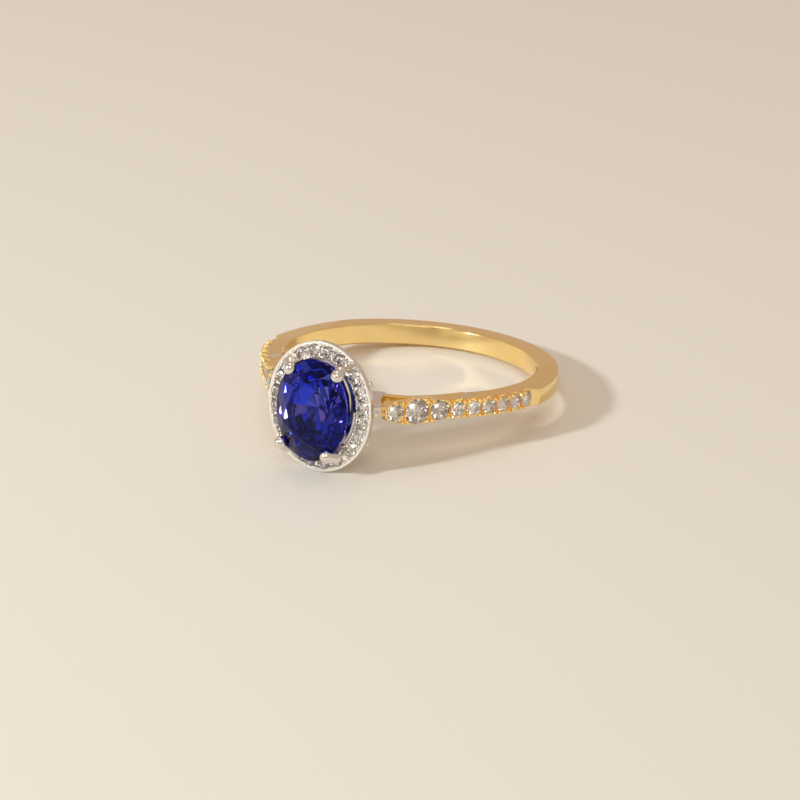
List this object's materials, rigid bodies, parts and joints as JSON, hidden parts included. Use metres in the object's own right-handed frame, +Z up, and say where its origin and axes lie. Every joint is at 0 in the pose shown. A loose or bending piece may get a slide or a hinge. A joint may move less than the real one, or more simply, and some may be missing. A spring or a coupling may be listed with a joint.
{
  "type": "engagement ring",
  "caption": "Gold engagement ring with an oval blue sapphire in a round-stone halo of white metal, and forked shoulders set with small brilliants.",
  "frame": {"origin": "centre of the finger hole", "axes": "the ring lies on its side as it does on a table: +Z up, -Y from the finger hole towards the head and the centre stone, +X to the right when the stone faces the viewer; the finger hole's axis is leaned 9.38 degrees from +Z towards +Y"},
  "size_m": [0.0196, 0.0231, 0.0083],
  "materials": {
    "yellow_gold": "polished",
    "white_metal": "polished",
    "diamond": "faceted, clear",
    "sapphire": "faceted, deep blue"
  },
  "bodies": {
    "root": {"shank": "yellow_gold", "halo_frame": "white_metal", "gallery_rail": "white_metal", "base_rail": "white_metal", "shoulder_link_right": "white_metal", "shoulder_link_left": "white_metal", "claw_upper_right": "white_metal", "claw_upper_left": "white_metal", "claw_lower_left": "white_metal", "claw_lower_right": "white_metal", "centre_sapphire": "sapphire", "halo_diamond_01": "diamond", "halo_diamond_02": "diamond", "halo_diamond_03": "diamond", "halo_diamond_04": "diamond", "halo_diamond_05": "diamond", "halo_diamond_06": "diamond", "halo_diamond_07": "diamond", "halo_diamond_08": "diamond", "halo_diamond_09": "diamond", "halo_diamond_10": "diamond", "halo_diamond_11": "diamond", "halo_diamond_12": "diamond", "halo_diamond_13": "diamond", "halo_diamond_14": "diamond", "halo_diamond_15": "diamond", "halo_diamond_16": "diamond", "halo_diamond_17": "diamond", "halo_diamond_18": "diamond", "halo_diamond_19": "diamond", "halo_diamond_20": "diamond", "shoulder_diamond_right_1": "diamond", "shoulder_diamond_right_2": "diamond", "shoulder_diamond_right_3": "diamond", "shoulder_diamond_right_4": "diamond", "shoulder_diamond_right_5": "diamond", "shoulder_diamond_right_6": "diamond", "shoulder_diamond_right_7": "diamond", "shoulder_diamond_right_8": "diamond", "shoulder_diamond_right_9": "diamond", "shoulder_diamond_left_1": "diamond", "shoulder_diamond_left_2": "diamond", "shoulder_diamond_left_3": "diamond", "shoulder_diamond_left_4": "diamond", "shoulder_diamond_left_5": "diamond", "shoulder_diamond_left_6": "diamond", "shoulder_diamond_left_7": "diamond", "shoulder_diamond_left_8": "diamond", "shoulder_diamond_left_9": "diamond"}
  },
  "joints": []
}
